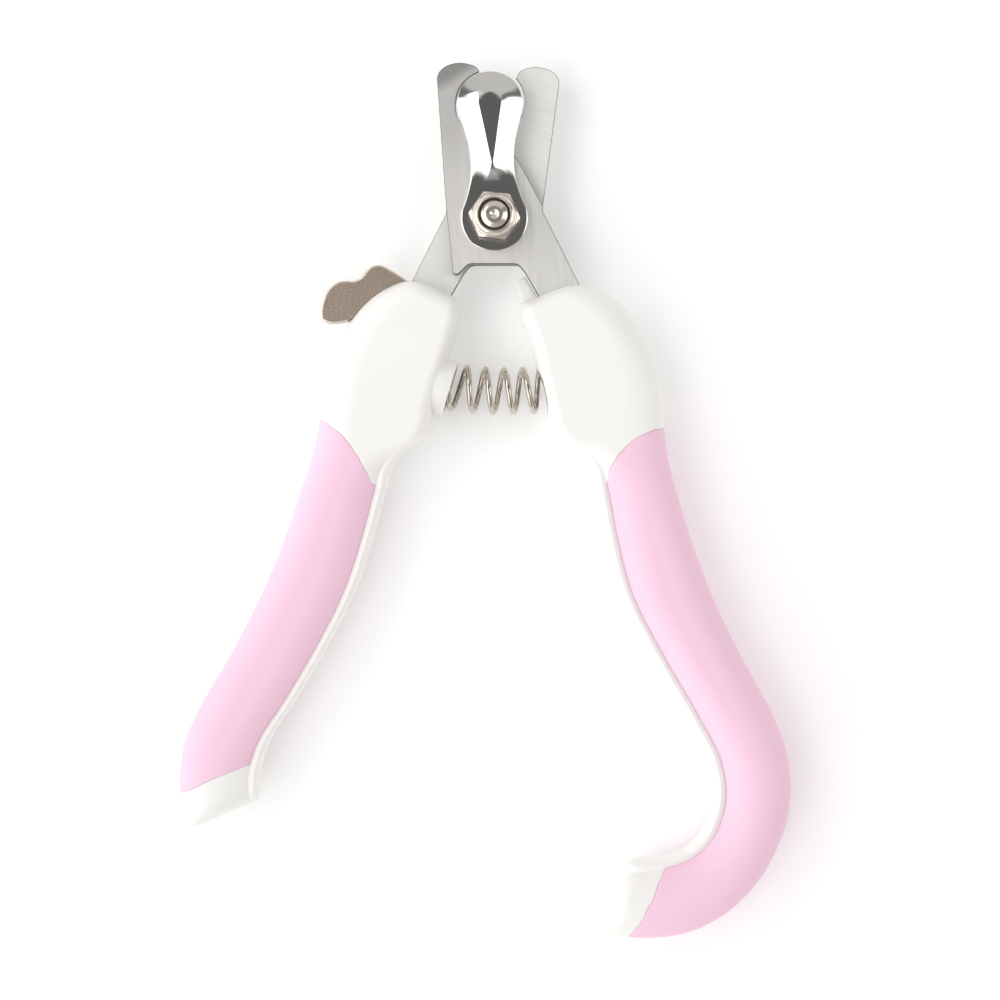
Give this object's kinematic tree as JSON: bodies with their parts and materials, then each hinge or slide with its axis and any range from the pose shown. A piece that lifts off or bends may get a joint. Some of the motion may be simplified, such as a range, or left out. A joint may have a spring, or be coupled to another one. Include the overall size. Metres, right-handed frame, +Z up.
{
  "type": "pet nail clipper",
  "caption": "Plier-type pet nail clipper: two crossed steel jaws on one pivot, swinging guard, return spring, lock lever, soft-grip handles with a finger hook.",
  "frame": {"origin": "on the pivot axis, at the flat face of the pivot bolt's head, which is level with the undersides of both handles", "axes": "+Y from the handles to the blade tips, +X to the hooked right handle, +Z up from the face that the clipper lies on towards the lock nut"},
  "size_m": [0.1101, 0.1573, 0.015],
  "materials": {
    "blade_steel": "satin, fine diagonal brushing",
    "polished_steel": "mirror polished pressed sheet",
    "nickel": "bright nickel plate",
    "spring_nickel": "bright nickel plated wire",
    "lever_nickel": "grainy satin nickel with bright edges",
    "white_plastic": "smooth, slightly glossy",
    "pink_rubber": "soft matte overmould",
    "nylon": "matte"
  },
  "bodies": {
    "left_handle": {"rear_blade": "blade_steel", "left_core_front": "white_plastic", "left_core_rear": "white_plastic", "left_grip": "pink_rubber", "left_tang_pin_upper": "nickel", "left_tang_pin_lower": "nickel", "pivot_bolt": "nickel", "pivot_nut": "nickel", "nut_insert": "nylon", "head_washer": "nickel", "lever_pin": "nickel", "lever_washer": "nickel", "return_spring": "spring_nickel"},
    "right_handle": {"front_blade": "blade_steel", "right_core_front": "white_plastic", "right_core_rear": "white_plastic", "right_grip": "pink_rubber", "right_tang_pin_upper": "nickel", "right_tang_pin_lower": "nickel"},
    "guard": {"safety_guard": "polished_steel"},
    "lever": {"lock_lever": "lever_nickel"}
  },
  "joints": [
    {"name": "main_pivot", "type": "hinge", "parent": "left_handle", "child": "right_handle", "pos_m": [0, 0, 0.00715], "axis": [0, 0, -1], "range_deg": [0, 28], "stiffness_Nm_per_rad": 0.4, "springref_deg": -2.86, "deforming": ["return_spring"]},
    {"name": "guard_swing", "type": "hinge", "parent": "left_handle", "child": "guard", "pos_m": [0, 0, 0.00905], "axis": [0, 0, 1], "range_deg": [-90, 90]},
    {"name": "lock_lever_turn", "type": "hinge", "parent": "left_handle", "child": "lever", "pos_m": [-0.0139, -0.0169, 0.00715], "axis": [0, 0, -1], "range_deg": [0, 54]}
  ]
}
